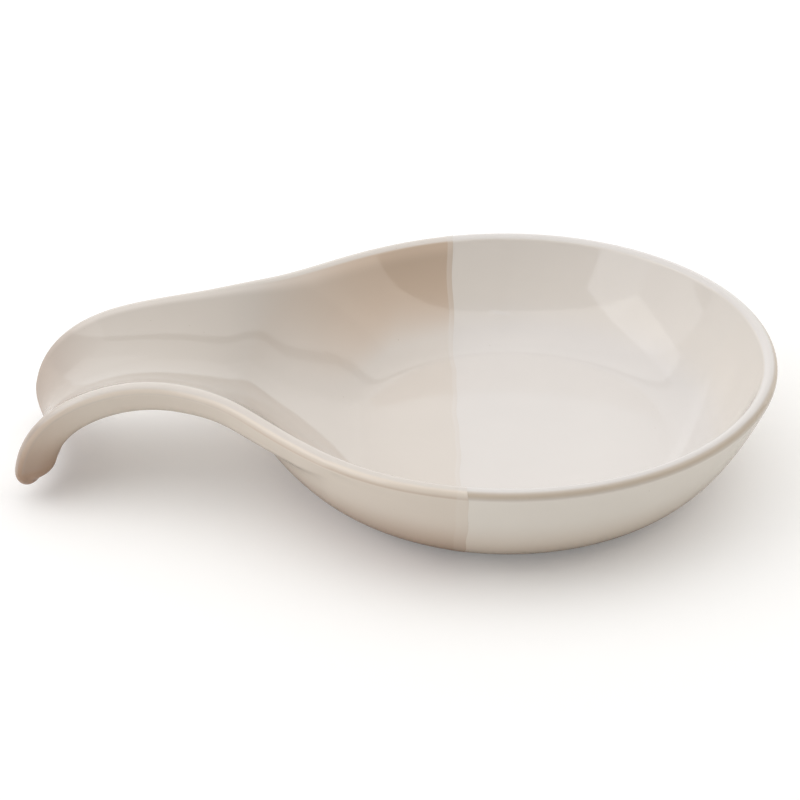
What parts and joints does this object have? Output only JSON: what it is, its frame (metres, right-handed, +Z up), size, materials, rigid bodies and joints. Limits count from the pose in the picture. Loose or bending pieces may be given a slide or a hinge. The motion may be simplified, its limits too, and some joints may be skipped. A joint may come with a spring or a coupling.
{
  "type": "spoon rest",
  "caption": "Round shallow stoneware bowl whose rim runs out into an arched gutter handle with a drooping tip, dipped in two plain glazes.",
  "frame": {"origin": "centre of the bounding box, on the table plane that the foot stands on", "axes": "+X along the length towards the bowl end, -X towards the handle tip, +Y across the width, +Z up. The part is symmetric about the XZ plane."},
  "size_m": [0.2176, 0.1548, 0.0403],
  "materials": {
    "bare_clay": "bare fired stoneware, matt and slightly sandy",
    "white_glaze": "glossy warm white glaze, thin and tan at the rim",
    "beige_glaze": "glossy warm beige glaze, thin and tan at the rim"
  },
  "bodies": {
    "root": {"stoneware_body": "bare_clay", "white_glaze": "white_glaze", "beige_glaze": "beige_glaze"}
  },
  "joints": []
}
